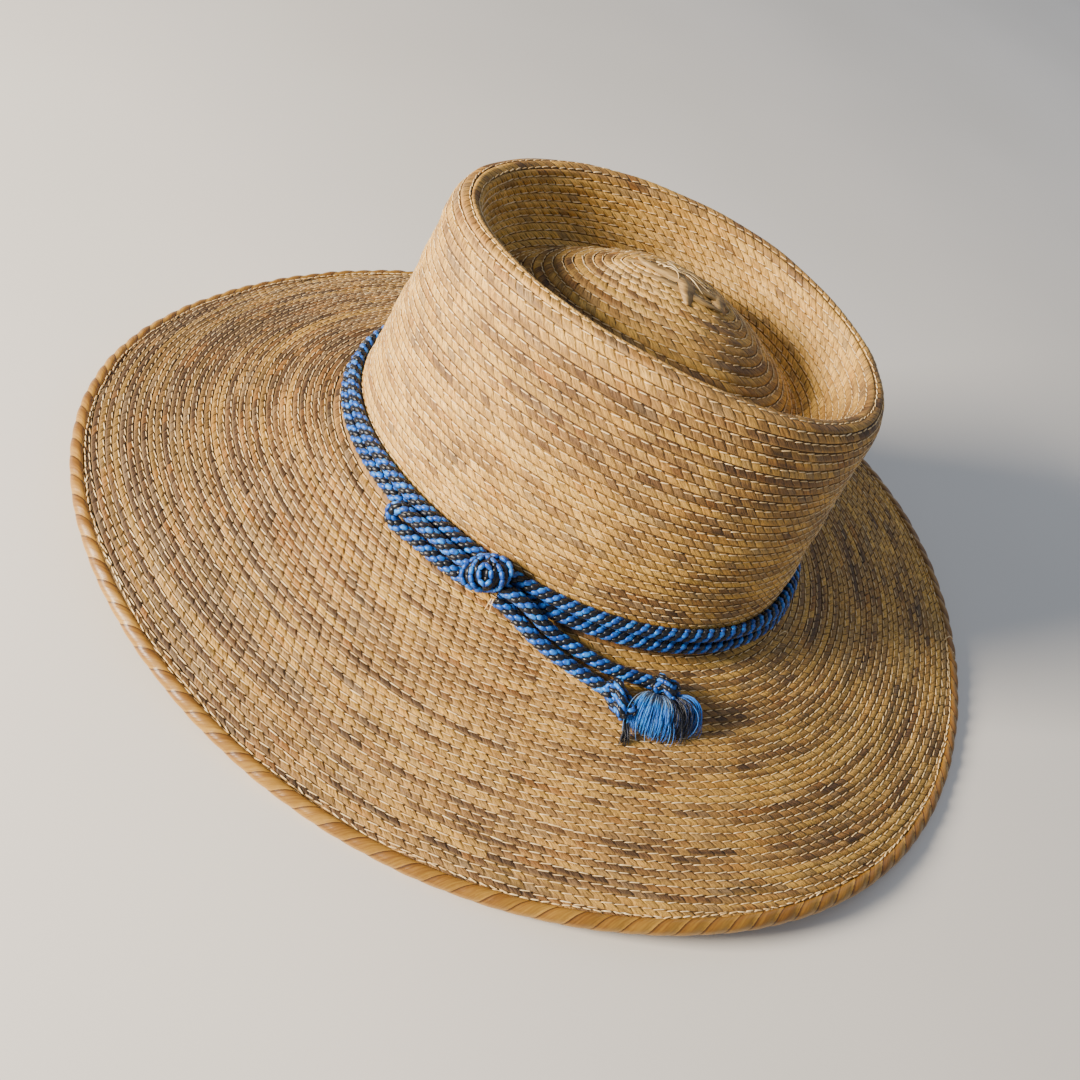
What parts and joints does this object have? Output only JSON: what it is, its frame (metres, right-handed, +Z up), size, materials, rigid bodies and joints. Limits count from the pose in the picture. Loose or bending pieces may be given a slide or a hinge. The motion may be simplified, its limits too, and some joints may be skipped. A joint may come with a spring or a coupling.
{
  "type": "straw hat",
  "caption": "Wide-brimmed sewn palm-leaf hat with a pressed-in telescope crown, a bound drooping brim and a doubled blue and black cord tied round the crown.",
  "frame": {"origin": "middle of the hat's outline at the lowest points of the brim's edge, as it rests on a flat surface", "axes": "+Z up, -Y towards the front of the hat, +X towards the wearer's left, where the knot of the cord is"},
  "size_m": [0.3842, 0.4264, 0.1534],
  "materials": {
    "palm_braid": "matte sewn palm-leaf braid",
    "leaf_binding": "smooth wrapped leaf strip",
    "blue_cord": "braided rayon cord",
    "tassel_yarn": "combed-out yarn"
  },
  "bodies": {
    "root": {"crown_side": "palm_braid", "crown_tip": "palm_braid", "brim": "palm_braid", "brim_binding": "leaf_binding", "band_cord_upper": "blue_cord", "band_cord_lower": "blue_cord", "band_loop": "blue_cord", "band_knot": "blue_cord", "tail_cord_a": "blue_cord", "tail_cord_b": "blue_cord", "tail_knot_a": "blue_cord", "tail_knot_b": "blue_cord", "tassel_a": "tassel_yarn", "tassel_b": "tassel_yarn"}
  },
  "joints": []
}
